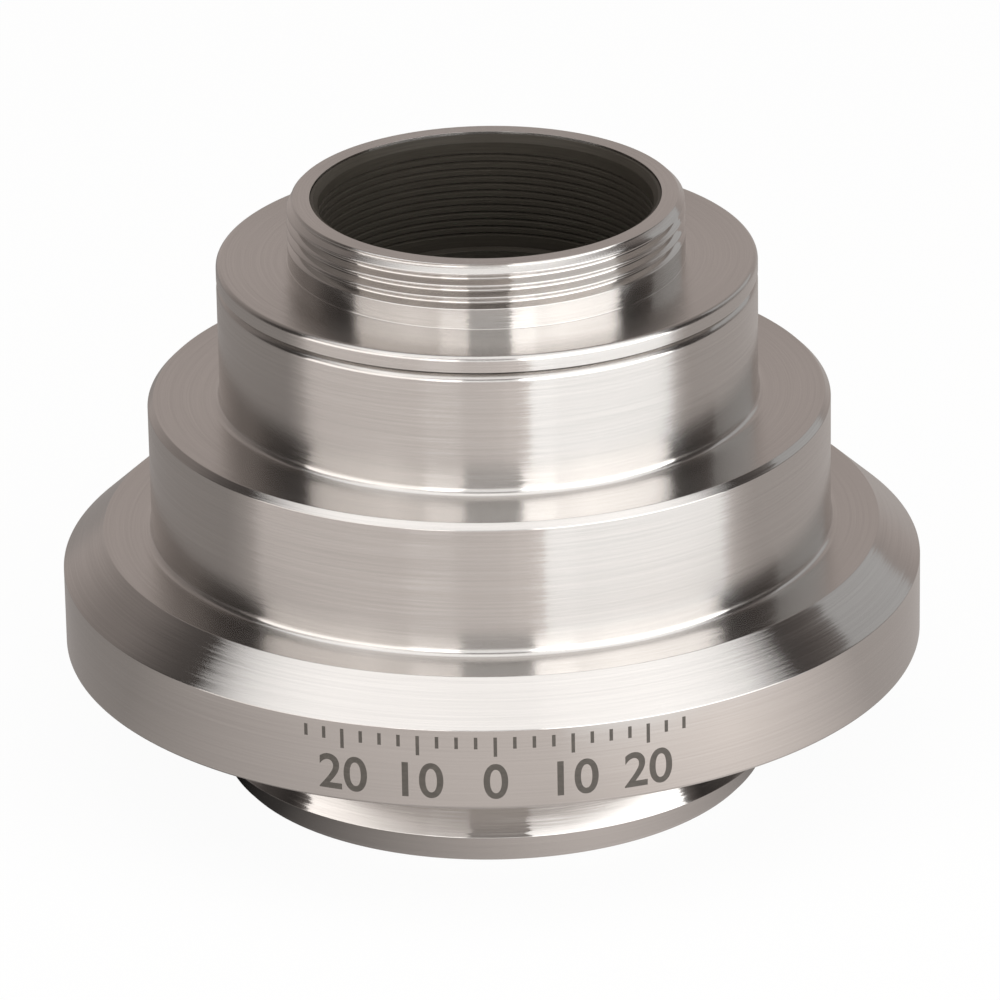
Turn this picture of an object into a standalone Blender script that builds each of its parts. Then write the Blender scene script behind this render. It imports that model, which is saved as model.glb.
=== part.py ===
"""Microscope camera adapter: a stepped steel tube with a threaded nose for a
camera on top, a dovetail foot for the microscope below, and a reducing lens
in a black barrel between them.

Metres, +Z up. The origin is the centre of the foot's lower face, and +Z is the
optical axis. Every piece is turned about +Z, so each is a profile of
(radius, height) points with a Screw modifier.
"""
import math

import bmesh
import bpy

MM = 0.001

# Clearances between pieces
fit_gap = 0.30 * MM
seat_gap = 0.15 * MM
cement_gap = 0.10 * MM

# Camera nose, a 1 inch by 32 turns thread in front of a shoulder
inch = 25.4 * MM
turns_per_inch = 32
thread_radius = 12.70 * MM
thread_depth = 0.45 * MM
thread_pitch = inch / turns_per_inch
thread_angle = math.radians(60)
thread_crest = 0.10 * MM
thread_runout = 0.75 * MM
nose_length = 4.19 * MM
nose_wall = 1.30 * MM
rim_chamfer = 0.43 * MM
shoulder_fillet = 0.12 * MM
shoulder_width = 4.60 * MM
shoulder_thickness = 1.05 * MM
shoulder_chamfer = 0.20 * MM
shank_wall = 3.20 * MM
shank_length = 5.80 * MM

# Stepped body, heights from the foot upwards
foot_chamfer_height = 0.45 * MM
foot_chamfer_width = 0.40 * MM
foot_cone_height = 1.68 * MM
foot_cone_width = 0.90 * MM
dovetail_depth = 2.10 * MM
dovetail_angle = math.radians(30)
neck_wall = 3.90 * MM
neck_length = 2.77 * MM
neck_fillet = 0.50 * MM
flange_rim_height = 5.36 * MM
flange_chamfer_height = 2.44 * MM
flange_chamfer_width = 2.67 * MM
flange_edge_break = 0.15 * MM
flange_shelf_width = 3.10 * MM
lower_tier_height = 8.87 * MM
lower_tier_step = 4.65 * MM
lower_tier_chamfer = 0.38 * MM
upper_tier_height = 8.09 * MM
upper_tier_wall = 2.40 * MM
upper_tier_chamfer = 0.35 * MM
tier_fillet = 0.30 * MM
bore_chamfer = 0.40 * MM

# Lens barrel
barrel_rim_drop = 0.10 * MM
barrel_neck_wall = 0.40 * MM
barrel_body_wall = 1.50 * MM
barrel_lead_in = 0.45 * MM
barrel_rim_land = 0.10 * MM
barrel_ledge_width = 2.10 * MM
barrel_ledge_thickness = 1.50 * MM
barrel_end_chamfer = 0.30 * MM

# Rings, spacers and stop
lock_ring_height = 1.20 * MM
lock_ring_thickness = 1.50 * MM
lock_ring_width = 1.50 * MM
retaining_ring_thickness = 1.20 * MM
retaining_ring_width = 1.10 * MM
ring_chamfer = 0.30 * MM
ring_recess = 1.40 * MM
slot_width = 1.20 * MM
slot_depth = 0.60 * MM
spacer_wall = 1.20 * MM
field_spacer_length = 0.80 * MM
lower_spacer_length = 2.70 * MM
upper_spacer_length = 4.50 * MM
stop_thickness = 0.50 * MM
stop_width = 2.60 * MM

# Lenses: edge thickness, and the radius of each curved face
field_lens_edge = 1.00 * MM
field_lens_lower_curve = 30.0 * MM
field_lens_upper_curve = 50.0 * MM
lower_flint_edge = 3.10 * MM
lower_flint_curve = 90.0 * MM
lower_cement_curve = 24.0 * MM
lower_crown_edge = 1.50 * MM
lower_crown_curve = 40.0 * MM
relay_lens_edge = 1.50 * MM
relay_lens_curve = 35.0 * MM
upper_crown_edge = 1.30 * MM
upper_crown_curve = 60.0 * MM
upper_cement_curve = 22.0 * MM
upper_flint_edge = 2.80 * MM
upper_flint_curve = 48.0 * MM

# Facets round a turned piece, and along a curved face or a rounded corner
body_facets = 64
inner_facets = 44
lens_facets = 36
lens_rows = 4
corner_facets = 2

# Points closer than this become one, at a turning's seam and after a cut
seam_merge = 0.001 * MM
cut_merge = 0.002 * MM

# Radii, worked out from the thread inwards and outwards
nose_bore = thread_radius - nose_wall
shoulder_radius = thread_radius + shoulder_width
shank_radius = nose_bore + shank_wall
barrel_neck = nose_bore - fit_gap
cell_bore = barrel_neck - barrel_neck_wall
cell_radius = cell_bore - fit_gap
ledge_bore = cell_bore - barrel_ledge_width
barrel_radius = cell_bore + barrel_body_wall
body_bore = barrel_radius + fit_gap
socket_bore = shank_radius + fit_gap
upper_tier = socket_bore + upper_tier_wall
lower_tier = upper_tier + lower_tier_step
shelf_edge = lower_tier + flange_shelf_width
flange_radius = shelf_edge + flange_chamfer_width
neck_radius = body_bore + neck_wall
dovetail_radius = neck_radius + dovetail_depth

# Heights of the body's steps
dovetail_edge_z = foot_chamfer_height + foot_cone_height
neck_z = dovetail_edge_z + dovetail_depth / math.tan(dovetail_angle)
flange_z = neck_z + neck_length
flange_chamfer_z = flange_z + flange_rim_height
shelf_z = flange_chamfer_z + flange_chamfer_height
lower_tier_z = shelf_z + lower_tier_height
body_top_z = lower_tier_z + upper_tier_height
shoulder_under_z = body_top_z + seat_gap
shoulder_z = shoulder_under_z + shoulder_thickness
rim_z = shoulder_z + nose_length
shank_end_z = shoulder_under_z - shank_length
socket_floor_z = shank_end_z - fit_gap
barrel_shoulder_z = shank_end_z - seat_gap


def sag(curve, radius):
    """How far a spherical face has fallen at this radius."""
    return curve - math.sqrt(curve * curve - radius * radius)


def seat_on(curve, seat_radius):
    """How far a ring's inner edge lies beyond the rim of a convex face."""
    return sag(curve, cell_radius) - sag(curve, seat_radius)


# Heights of the stack in the barrel, from the foot upwards
ring_bore = cell_radius - retaining_ring_width
lock_ring_z = lock_ring_height
lock_ring_top_z = lock_ring_z + lock_ring_thickness
barrel_end_z = lock_ring_top_z + seat_gap
lower_ring_z = barrel_end_z + ring_recess
lower_ring_top_z = lower_ring_z + retaining_ring_thickness
field_lens_z = lower_ring_top_z + seat_gap + seat_on(field_lens_lower_curve, ring_bore)
field_lens_top_z = field_lens_z + field_lens_edge
field_spacer_z = field_lens_top_z + seat_gap
field_spacer_top_z = field_spacer_z + field_spacer_length
lower_flint_z = field_spacer_top_z + seat_gap + seat_on(lower_flint_curve, cell_radius - spacer_wall)
lower_flint_top_z = lower_flint_z + lower_flint_edge
lower_crown_z = lower_flint_top_z + cement_gap
lower_crown_top_z = lower_crown_z + lower_crown_edge
lower_spacer_z = lower_crown_top_z + seat_gap + seat_on(lower_crown_curve, cell_radius - spacer_wall)
lower_spacer_top_z = lower_spacer_z + lower_spacer_length
stop_z = lower_spacer_top_z + seat_gap
stop_top_z = stop_z + stop_thickness
ledge_z = stop_top_z + seat_gap
ledge_top_z = ledge_z + barrel_ledge_thickness
relay_lens_z = ledge_top_z + seat_gap
relay_lens_top_z = relay_lens_z + relay_lens_edge
upper_spacer_z = relay_lens_top_z + seat_gap + seat_on(relay_lens_curve, cell_radius - spacer_wall)
upper_spacer_top_z = upper_spacer_z + upper_spacer_length
upper_crown_z = upper_spacer_top_z + seat_gap + seat_on(upper_crown_curve, cell_radius - spacer_wall)
upper_crown_top_z = upper_crown_z + upper_crown_edge
upper_flint_z = upper_crown_top_z + cement_gap
upper_flint_top_z = upper_flint_z + upper_flint_edge
upper_ring_z = upper_flint_top_z + seat_gap + seat_on(upper_flint_curve, ring_bore)
upper_ring_top_z = upper_ring_z + retaining_ring_thickness


def clear_scene():
    """Remove every object and empty collection that the file opened with."""
    for old in list(bpy.data.objects):
        bpy.data.objects.remove(old, do_unlink=True)
    for old in list(bpy.data.collections):
        bpy.data.collections.remove(old)


def new_collection(name):
    """Make a collection in the scene."""
    collection = bpy.data.collections.new(name)
    bpy.context.scene.collection.children.link(collection)
    return collection


def new_material(name, colour, metallic, roughness, transmission=0.0):
    """Make a Principled material."""
    material = bpy.data.materials.new(name)
    material.use_nodes = True
    shader = material.node_tree.nodes["Principled BSDF"]
    shader.inputs["Base Color"].default_value = (*colour, 1.0)
    shader.inputs["Metallic"].default_value = metallic
    shader.inputs["Roughness"].default_value = roughness
    shader.inputs["Transmission Weight"].default_value = transmission
    return material


def fillet(centre, radius, start, end):
    """Points of a round corner, as angles in degrees about its centre."""
    points = []
    for facet in range(corner_facets + 1):
        angle = math.radians(start + (end - start) * facet / corner_facets)
        points.append((centre[0] + radius * math.cos(angle), centre[1] + radius * math.sin(angle)))
    return points


def lens_face(edge_z, curve, bulge, inwards):
    """Points of a spherical face: bulge is 1 for a face that rises to the
    axis and -1 for one that falls to it."""
    points = []
    for row in range(lens_rows + 1):
        radius = cell_radius * row / lens_rows
        rise = sag(curve, cell_radius) - sag(curve, radius)
        points.append((radius, edge_z + bulge * rise))
    if inwards:
        points.reverse()
    return points


def apply_modifiers(piece):
    """Replace a piece's mesh by its evaluated mesh, shaded smooth between edges."""
    graph = bpy.context.evaluated_depsgraph_get()
    mesh = bpy.data.meshes.new_from_object(piece.evaluated_get(graph))
    profile_mesh = piece.data
    piece.modifiers.clear()
    piece.data = mesh
    bpy.data.meshes.remove(profile_mesh)
    mesh.shade_smooth()
    mesh.set_sharp_from_angle(angle=math.radians(30))


def turn(name, profile, facets, material, collection, closed=True):
    """Turn a profile about +Z. It runs down its outer side, top to bottom; a
    closed one goes back up its inner side, and an open one ends on the axis."""
    count = len(profile)
    edges = [(index, index + 1) for index in range(count - 1)]
    if closed:
        edges.append((count - 1, 0))
    mesh = bpy.data.meshes.new(name)
    mesh.from_pydata([(radius, 0.0, z) for radius, z in profile], edges, [])
    mesh.materials.append(material)
    piece = bpy.data.objects.new(name, mesh)
    collection.objects.link(piece)
    screw = piece.modifiers.new("turning", 'SCREW')
    screw.axis = 'Z'
    screw.steps = facets
    screw.render_steps = facets
    screw.use_merge_vertices = True
    screw.merge_threshold = seam_merge
    apply_modifiers(piece)
    return piece


def combine(piece, other, operation):
    """Cut, join or trim a piece by another with the exact solver."""
    boolean = piece.modifiers.new(operation.lower(), 'BOOLEAN')
    boolean.operation = operation
    boolean.solver = 'EXACT'
    boolean.object = other
    apply_modifiers(piece)
    work = bmesh.new()
    work.from_mesh(piece.data)
    bmesh.ops.remove_doubles(work, verts=work.verts, dist=cut_merge)
    bmesh.ops.dissolve_degenerate(work, dist=cut_merge, edges=work.edges)
    work.to_mesh(piece.data)
    work.free()


def hide_cutter(cutter):
    """Show a cutter as a wire, and keep it out of renders."""
    cutter.display_type = 'WIRE'
    cutter.hide_render = True


def slot_cutter(name, half_length, face_z, cutters):
    """A bar across a ring's face, which cuts a pair of spanner slots."""
    bpy.ops.mesh.primitive_cube_add(size=1.0, location=(0.0, 0.0, face_z))
    cutter = bpy.context.object
    cutter.name = name
    cutter.scale = (2 * half_length, slot_width, 2 * slot_depth)
    bpy.ops.object.transform_apply(location=False, rotation=False, scale=True)
    for owner in list(cutter.users_collection):
        owner.objects.unlink(cutter)
    cutters.objects.link(cutter)
    hide_cutter(cutter)
    return cutter


def ring_profile(outer, inner, low, high, chamfer):
    """A ring with its outer corners broken."""
    return [
        (outer - chamfer, high),
        (outer, high - chamfer),
        (outer, low + chamfer),
        (outer - chamfer, low),
        (inner, low),
        (inner, high),
    ]


def make_stepped_body(parts, steel):
    """The steel body: foot, neck, flange and two tiers in one turning."""
    profile = [(upper_tier - upper_tier_chamfer, body_top_z)]
    profile.append((upper_tier, body_top_z - upper_tier_chamfer))
    corner = (upper_tier + tier_fillet, lower_tier_z + tier_fillet)
    profile += fillet(corner, tier_fillet, 180, 270)
    profile.append((lower_tier - lower_tier_chamfer, lower_tier_z))
    profile.append((lower_tier, lower_tier_z - lower_tier_chamfer))
    corner = (lower_tier + tier_fillet, shelf_z + tier_fillet)
    profile += fillet(corner, tier_fillet, 180, 270)
    profile.append((shelf_edge, shelf_z))
    profile.append((flange_radius, flange_chamfer_z))
    profile.append((flange_radius, flange_z + flange_edge_break))
    profile.append((flange_radius - flange_edge_break, flange_z))
    corner = (neck_radius + neck_fillet, flange_z - neck_fillet)
    profile += fillet(corner, neck_fillet, 90, 180)
    profile.append((neck_radius, neck_z))
    profile.append((dovetail_radius, dovetail_edge_z))
    profile.append((dovetail_radius - foot_cone_width, foot_chamfer_height))
    profile.append((dovetail_radius - foot_cone_width - foot_chamfer_width, 0.0))
    profile.append((body_bore + bore_chamfer, 0.0))
    profile.append((body_bore, bore_chamfer))
    profile.append((body_bore, socket_floor_z))
    profile.append((socket_bore, socket_floor_z))
    profile.append((socket_bore, body_top_z))
    return turn("stepped_body", profile, body_facets, steel, parts)


def make_camera_nose(parts, cutters, steel):
    """The threaded nose, its shoulder, and the shank that enters the body."""
    profile = [(thread_radius - rim_chamfer, rim_z)]
    profile.append((thread_radius, rim_z - rim_chamfer))
    corner = (thread_radius + shoulder_fillet, shoulder_z + shoulder_fillet)
    profile += fillet(corner, shoulder_fillet, 180, 270)
    profile.append((shoulder_radius - shoulder_chamfer, shoulder_z))
    profile.append((shoulder_radius, shoulder_z - shoulder_chamfer))
    profile.append((shoulder_radius, shoulder_under_z))
    profile.append((shank_radius, shoulder_under_z))
    profile.append((shank_radius, shank_end_z))
    profile.append((nose_bore, shank_end_z))
    profile.append((nose_bore, rim_z))
    nose = turn("camera_nose", profile, body_facets, steel, parts)
    combine(nose, make_thread_cutter(cutters, steel), 'DIFFERENCE')
    return nose


def make_thread_cutter(cutters, steel):
    """A V-shaped tool swept along the helix, from its run-out near the
    shoulder up past the rim. It leaves the camera thread as it cuts, and is
    turned by half a facet so that its corners miss the nose's edges."""
    flank = math.tan(thread_angle / 2)
    mouth = (thread_pitch - thread_crest) / 2
    over = thread_crest / 4
    tip = mouth - thread_depth * flank
    outline = [
        (thread_radius + over, mouth + over * flank),
        (thread_radius + over, -mouth - over * flank),
        (thread_radius - thread_depth, -tip),
        (thread_radius - thread_depth, tip),
    ]
    start_z = shoulder_z + thread_runout + mouth
    turns = math.ceil((rim_z - start_z) / thread_pitch) + 1
    count = len(outline)
    edges = [(index, (index + 1) % count) for index in range(count)]
    mesh = bpy.data.meshes.new("thread_cutter")
    mesh.from_pydata([(radius, 0.0, start_z + z) for radius, z in outline], edges, [])
    mesh.materials.append(steel)
    cutter = bpy.data.objects.new("thread_cutter", mesh)
    cutters.objects.link(cutter)
    hide_cutter(cutter)
    screw = cutter.modifiers.new("helix", 'SCREW')
    screw.axis = 'Z'
    screw.screw_offset = thread_pitch
    screw.iterations = turns
    screw.steps = body_facets
    screw.render_steps = body_facets
    apply_modifiers(cutter)
    cap_ends(cutter)
    cutter.rotation_euler.z = math.pi / body_facets
    return cutter


def cap_ends(piece):
    """Close the two open ends of a swept tool, and point its faces outwards."""
    work = bmesh.new()
    work.from_mesh(piece.data)
    open_edges = [edge for edge in work.edges if edge.is_boundary]
    bmesh.ops.holes_fill(work, edges=open_edges, sides=0)
    bmesh.ops.recalc_face_normals(work, faces=work.faces)
    work.to_mesh(piece.data)
    work.free()


def make_lens_barrel(parts, black):
    """The black barrel: a thin neck inside the nose and a thicker body with
    the ledge that both lens groups seat on."""
    top_z = rim_z - barrel_rim_drop
    lead_width = barrel_neck - barrel_rim_land - cell_bore
    profile = [
        (barrel_neck, top_z),
        (barrel_neck, barrel_shoulder_z),
        (barrel_radius - barrel_end_chamfer, barrel_shoulder_z),
        (barrel_radius, barrel_shoulder_z - barrel_end_chamfer),
        (barrel_radius, barrel_end_z + barrel_end_chamfer),
        (barrel_radius - barrel_end_chamfer, barrel_end_z),
        (cell_bore, barrel_end_z),
        (cell_bore, ledge_z),
        (ledge_bore, ledge_z),
        (ledge_bore, ledge_top_z),
        (cell_bore, ledge_top_z),
        (cell_bore, top_z - barrel_lead_in),
        (cell_bore + lead_width, top_z),
    ]
    return turn("lens_barrel", profile, inner_facets, black, parts)


def make_slotted_ring(name, outer, inner, low, high, slot_z, parts, cutters, black):
    """A threaded ring with a pair of spanner slots in the face at slot_z."""
    profile = ring_profile(outer, inner, low, high, ring_chamfer)
    ring = turn(name, profile, inner_facets, black, parts)
    cutter = slot_cutter(name + "_slots", outer + fit_gap, slot_z, cutters)
    combine(ring, cutter, 'DIFFERENCE')
    return ring


def make_rings(parts, cutters, black):
    """The two rings that hold the lens groups, and the one that locks the barrel."""
    make_slotted_ring("upper_retaining_ring", cell_radius, ring_bore, upper_ring_z,
                      upper_ring_top_z, upper_ring_top_z, parts, cutters, black)
    make_slotted_ring("lower_retaining_ring", cell_radius, ring_bore, lower_ring_z,
                      lower_ring_top_z, lower_ring_z, parts, cutters, black)
    make_slotted_ring("barrel_lock_ring", barrel_radius, barrel_radius - lock_ring_width,
                      lock_ring_z, lock_ring_top_z, lock_ring_z, parts, cutters, black)


def make_spacer(name, low, high, wall, parts, black):
    """A plain ring inside the barrel."""
    inner = cell_radius - wall
    profile = [(cell_radius, high), (cell_radius, low), (inner, low), (inner, high)]
    return turn(name, profile, lens_facets, black, parts)


def make_spacers(parts, black):
    """The rings that set the lenses apart, and the stop between the groups."""
    make_spacer("field_spacer", field_spacer_z, field_spacer_top_z, spacer_wall, parts, black)
    make_spacer("lower_spacer", lower_spacer_z, lower_spacer_top_z, spacer_wall, parts, black)
    make_spacer("upper_spacer", upper_spacer_z, upper_spacer_top_z, spacer_wall, parts, black)
    make_spacer("aperture_stop", stop_z, stop_top_z, stop_width, parts, black)


def make_lens(name, top_face, bottom_face, parts, glass):
    """A lens: its upper face outwards, its edge, and its lower face inwards."""
    return turn(name, top_face + bottom_face, lens_facets, glass, parts, closed=False)


def flat_face_points(z, inwards):
    """Points of a plane face."""
    points = [(0.0, z), (cell_radius, z)]
    if inwards:
        points.reverse()
    return points


def make_lenses(parts, crown, flint):
    """Six elements: a field lens, a relay lens and two cemented doublets."""
    make_lens("field_lens",
              lens_face(field_lens_top_z, field_lens_upper_curve, -1, False),
              lens_face(field_lens_z, field_lens_lower_curve, -1, True), parts, crown)
    make_lens("lower_doublet_flint",
              lens_face(lower_flint_top_z, lower_cement_curve, -1, False),
              lens_face(lower_flint_z, lower_flint_curve, -1, True), parts, flint)
    make_lens("lower_doublet_crown",
              lens_face(lower_crown_top_z, lower_crown_curve, 1, False),
              lens_face(lower_crown_z, lower_cement_curve, -1, True), parts, crown)
    make_lens("relay_lens",
              lens_face(relay_lens_top_z, relay_lens_curve, 1, False),
              flat_face_points(relay_lens_z, True), parts, crown)
    make_lens("upper_doublet_crown",
              lens_face(upper_crown_top_z, upper_cement_curve, 1, False),
              lens_face(upper_crown_z, upper_crown_curve, -1, True), parts, crown)
    make_lens("upper_doublet_flint",
              lens_face(upper_flint_top_z, upper_flint_curve, 1, False),
              lens_face(upper_flint_z, upper_cement_curve, 1, True), parts, flint)


def main():
    """Build the adapter."""
    clear_scene()
    parts = new_collection("microscope_camera_adapter")
    cutters = new_collection("cutters")
    steel = new_material("turned_steel", (0.56, 0.53, 0.51), 1.0, 0.28)
    black = new_material("black_anodised_aluminium", (0.02, 0.02, 0.02), 0.4, 0.5)
    crown = new_material("crown_glass", (0.95, 0.98, 0.96), 0.0, 0.02, 1.0)
    flint = new_material("flint_glass", (0.97, 0.96, 0.92), 0.0, 0.02, 1.0)
    make_stepped_body(parts, steel)
    make_camera_nose(parts, cutters, steel)
    make_lens_barrel(parts, black)
    make_rings(parts, cutters, black)
    make_spacers(parts, black)
    make_lenses(parts, crown, flint)


main()
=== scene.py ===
"""Looks of a microscope camera adapter: a stepped steel turning with a threaded
nose, and a reducing lens in a black barrel inside it.

Laid out as an add-on: sizes and colours are properties, each piece or group of
like pieces has an operator, and a panel lists them. Metres, +Z is the optical
axis, and the origin is the centre of the foot's lower face.
"""
import math

import bmesh
import bpy
from bpy.props import FloatProperty, FloatVectorProperty, IntProperty, PointerProperty
from bpy.types import Operator, Panel, PropertyGroup
from mathutils import Matrix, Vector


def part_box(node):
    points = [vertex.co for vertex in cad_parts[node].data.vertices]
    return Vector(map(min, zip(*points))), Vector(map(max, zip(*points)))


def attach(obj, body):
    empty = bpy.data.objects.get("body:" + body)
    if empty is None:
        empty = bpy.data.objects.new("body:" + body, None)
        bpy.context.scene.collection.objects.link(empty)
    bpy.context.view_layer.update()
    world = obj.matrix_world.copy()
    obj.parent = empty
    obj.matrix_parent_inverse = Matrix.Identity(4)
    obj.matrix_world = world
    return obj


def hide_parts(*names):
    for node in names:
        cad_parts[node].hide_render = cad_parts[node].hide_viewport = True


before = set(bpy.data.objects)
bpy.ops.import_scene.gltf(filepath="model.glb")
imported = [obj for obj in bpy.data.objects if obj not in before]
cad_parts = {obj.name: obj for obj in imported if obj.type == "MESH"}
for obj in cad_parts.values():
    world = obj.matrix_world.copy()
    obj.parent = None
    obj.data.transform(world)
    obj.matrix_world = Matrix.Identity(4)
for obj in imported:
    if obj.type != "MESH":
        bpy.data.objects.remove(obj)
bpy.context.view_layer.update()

bl_info = {
    "name": "Microscope Camera Adapter",
    "version": (1, 0, 0),
    "blender": (4, 5, 0),
    "location": "3D Viewport > Sidebar > Adapter",
    "description": "Dresses the solids of a microscope camera adapter",
    "category": "Add Mesh",
}

MM = 0.001
MERGE = 0.0005 * MM
ENLARGED = 1024

# Slope of a thread's flank, half of its 60 degrees
FLANK = math.tan(math.radians(30))

# Rounding: the cosine at a corner that turns only a little, the longest edge of
# a fillet, and the share of an edge that one corner may take
GENTLE_COSINE = -0.6
SHORT_EDGE = 0.5 * MM
EDGE_SHARE = 0.48

# Radius at which the length of a turning mark is true
MARKED_RADIUS = 20 * MM

nose_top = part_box("camera_nose")[1].z


def linear(hex_code):
    """An sRGB hex colour as linear red, green, blue."""
    colour = []
    for start in (0, 2, 4):
        value = int(hex_code[start:start + 2], 16) / 255
        colour.append(value / 12.92 if value <= 0.04045 else ((value + 0.055) / 1.055) ** 2.4)
    return tuple(colour)


def length(name, description, default):
    """A length property."""
    return FloatProperty(name=name, description=description, default=default, unit='LENGTH',
                         precision=5)


def rotation(name, description, degrees):
    """An angle property."""
    return FloatProperty(name=name, description=description, default=math.radians(degrees),
                         subtype='ANGLE')


def brightness(name, description, default):
    """The brightness of a lamp or a card, 1 being white."""
    return FloatProperty(name=name, description=description, default=default)


def colour(name, description, hex_code):
    """A colour property."""
    return FloatVectorProperty(name=name, description=description, subtype='COLOR', size=3,
                               min=0.0, max=1.0, default=linear(hex_code))


class AdapterSizes(PropertyGroup):
    """Sizes that the solids leave to the finish."""

    facets: IntProperty(name="Facets", description="Facets round a turned piece",
                        default=320, min=32)
    lens_facets: IntProperty(name="Lens facets", description="Facets round a lens",
                             default=128, min=32)
    edge_break: length("Edge break", "How much a turned corner is broken", 0.04 * MM)
    sharp_edge: length("Sharp edge", "Height in which the rim's inner edge is broken", 0.01 * MM)
    soft_edge: length("Soft edge", "How far a gentle corner is rounded", 0.16 * MM)
    thread_radius: length("Thread radius", "Crest radius of the camera thread", 12.70 * MM)
    thread_pitch: length("Thread pitch", "One turn of the camera thread", 25.4 * MM / 32)
    thread_depth: length("Thread depth", "Depth of the camera thread", 0.47 * MM)
    thread_crest: length("Thread crest", "Flat on each crest", 0.10 * MM)
    thread_runout: length("Thread run-out", "Plain length above the shoulder", 0.75 * MM)
    crest_break: length("Crest break", "How much the edges of a crest are broken", 0.035 * MM)
    root_radius: length("Root radius", "How far the corners of a root are rounded", 0.06 * MM)
    rim_chamfer: length("Rim chamfer", "Chamfer at the start of the thread", 0.43 * MM)
    corner_clear: length("Corner clearance", "Reach of the fillet left out under the thread",
                         0.40 * MM)
    baffle_pitch: length("Baffle pitch", "One turn of the fine thread in the barrel", 0.50 * MM)
    baffle_depth: length("Baffle depth", "Depth of the fine thread", 0.16 * MM)
    lip_radius: length("Lip radius", "Outer radius of the barrel's lip", 11.20 * MM)
    lip_gap: length("Lip gap", "Gap between the nose's rim and the barrel's lip", 0.015 * MM)
    lip_height: length("Lip height", "Height of the barrel's lip", 1.50 * MM)
    lip_drop: length("Lip drop", "How far the barrel's lip lies below the rim", 0.12 * MM)
    dovetail_top: length("Dovetail top", "Height of the top of the dovetail's slope", 6.0 * MM)
    slot_width: length("Slot width", "Width of a ring's spanner slots", 1.20 * MM)
    slot_depth: length("Slot depth", "Depth of a ring's spanner slots", 0.60 * MM)
    numeral_height: length("Numeral height", "Height of the index numerals", 2.30 * MM)
    tick_height: length("Tick height", "Height of the long index lines", 1.30 * MM)
    tick_width: length("Tick width", "Width of an index line", 0.22 * MM)


class AdapterFinish(PropertyGroup):
    """Colours of the finishes."""

    steel: colour("Steel", "Fine-turned steel", "CBC8C5")
    black: colour("Black", "Black anodised aluminium", "3C3832")
    marking: colour("Marking", "Darkened index marks", "54504B")
    crown: colour("Crown glass", "Crown glass", "FAFEFB")
    flint: colour("Flint glass", "Flint glass", "FDFCF6")
    floor: colour("Floor", "Floor", "F4F4F2")
    room: colour("Room", "Tint of the dim parts of the room", "FFF2EC")
    paper: colour("Paper", "Tint of the floor and the dim cards in the metal", "FFF6F1")
    lamp: colour("Lamp", "Tint of the left softbox", "FFFBF8")


class AdapterStudio(PropertyGroup):
    """Camera and lamps."""

    camera_back: length("Camera distance", "How far the camera stands in front", 472.6 * MM)
    camera_height: length("Camera height", "How high the camera stands", 220.6 * MM)
    camera_pitch: rotation("Pitch", "Camera's tilt down", 23.259)
    camera_yaw: rotation("Yaw", "Camera's turn to +X", 0.071)
    camera_roll: rotation("Roll", "Camera's roll", -0.983)
    camera_lens: FloatProperty(name="Lens", description="Focal length in mm", default=286.5)
    left_level: brightness("Left level", "Brightness of the left softbox", 1.9)
    left_upper: brightness("Left upper", "Brightness of its upper part", 0.75)
    right_level: brightness("Right level", "Brightness of the right softbox", 3.0)
    right_upper: brightness("Right upper", "Brightness of its upper part", 2.2)
    left_card: brightness("Left card", "Brightness of the left card", 0.72)
    right_card: brightness("Right card", "Brightness of the right card", 1.32)
    edge_card: brightness("Edge card", "Brightness of the right card's edge", 0.85)
    top_level: brightness("Top level", "Brightness of the top softbox", 1.38)
    front_level: brightness("Front level", "Brightness of the front card", 1.5)
    side_level: brightness("Side level", "Brightness of the card at the right", 0.55)
    # Painted light: the floor's glow in the metal, a gradient from left to right.
    floor_left: brightness("Floor left", "Brightness of the floor in metal, left", 0.33)
    floor_right: brightness("Floor right", "Brightness of the floor in metal, right", 0.50)


def select_only(piece):
    """Make one object the only selected one, in object mode."""
    if bpy.context.mode != 'OBJECT':
        bpy.ops.object.mode_set(mode='OBJECT')
    bpy.ops.object.select_all(action='DESELECT')
    if piece:
        piece.select_set(True)
        bpy.context.view_layer.objects.active = piece


def start_piece(name):
    """A new piece in edit mode that is a single point at the origin."""
    select_only(None)
    bpy.ops.mesh.primitive_plane_add(size=MM)
    piece = bpy.context.object
    piece.name = name
    piece.data.name = name
    bpy.ops.object.mode_set(mode='EDIT')
    bpy.ops.mesh.select_all(action='SELECT')
    bpy.ops.mesh.merge(type='CENTER')
    return piece


def trace_outline(points, closed):
    """Extrude the single point along an outline of (radius, height) points."""
    route = points + points[:1] if closed else points
    last = (0.0, 0.0)
    for index, point in enumerate(route):
        move = (point[0] - last[0], 0.0, point[1] - last[1])
        if index:
            bpy.ops.mesh.extrude_vertices_move(TRANSFORM_OT_translate={"value": move})
        else:
            bpy.ops.transform.translate(value=move)
        last = point
    bpy.ops.mesh.select_all(action='SELECT')
    bpy.ops.mesh.remove_doubles(threshold=MERGE)


def turn_piece(name, points, facets, closed=True):
    """Trace an outline and spin it about +Z into a turned piece."""
    piece = start_piece(name)
    trace_outline(points, closed)
    bpy.ops.mesh.spin(steps=facets, angle=2 * math.pi, center=(0, 0, 0), axis=(0, 0, 1))
    bpy.ops.mesh.select_all(action='SELECT')
    bpy.ops.mesh.remove_doubles(threshold=MERGE)
    bpy.ops.mesh.normals_make_consistent(inside=False)
    bpy.ops.object.mode_set(mode='OBJECT')
    check_solid(piece)
    return piece


def check_solid(piece):
    """Raise if a piece is open or inside out."""
    work = bmesh.new()
    work.from_mesh(piece.data)
    closed = all(len(edge.link_faces) == 2 for edge in work.edges)
    volume = work.calc_volume(signed=True)
    work.free()
    if not closed or volume <= 0:
        raise RuntimeError(f"{piece.name} is open or inside out")


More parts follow.
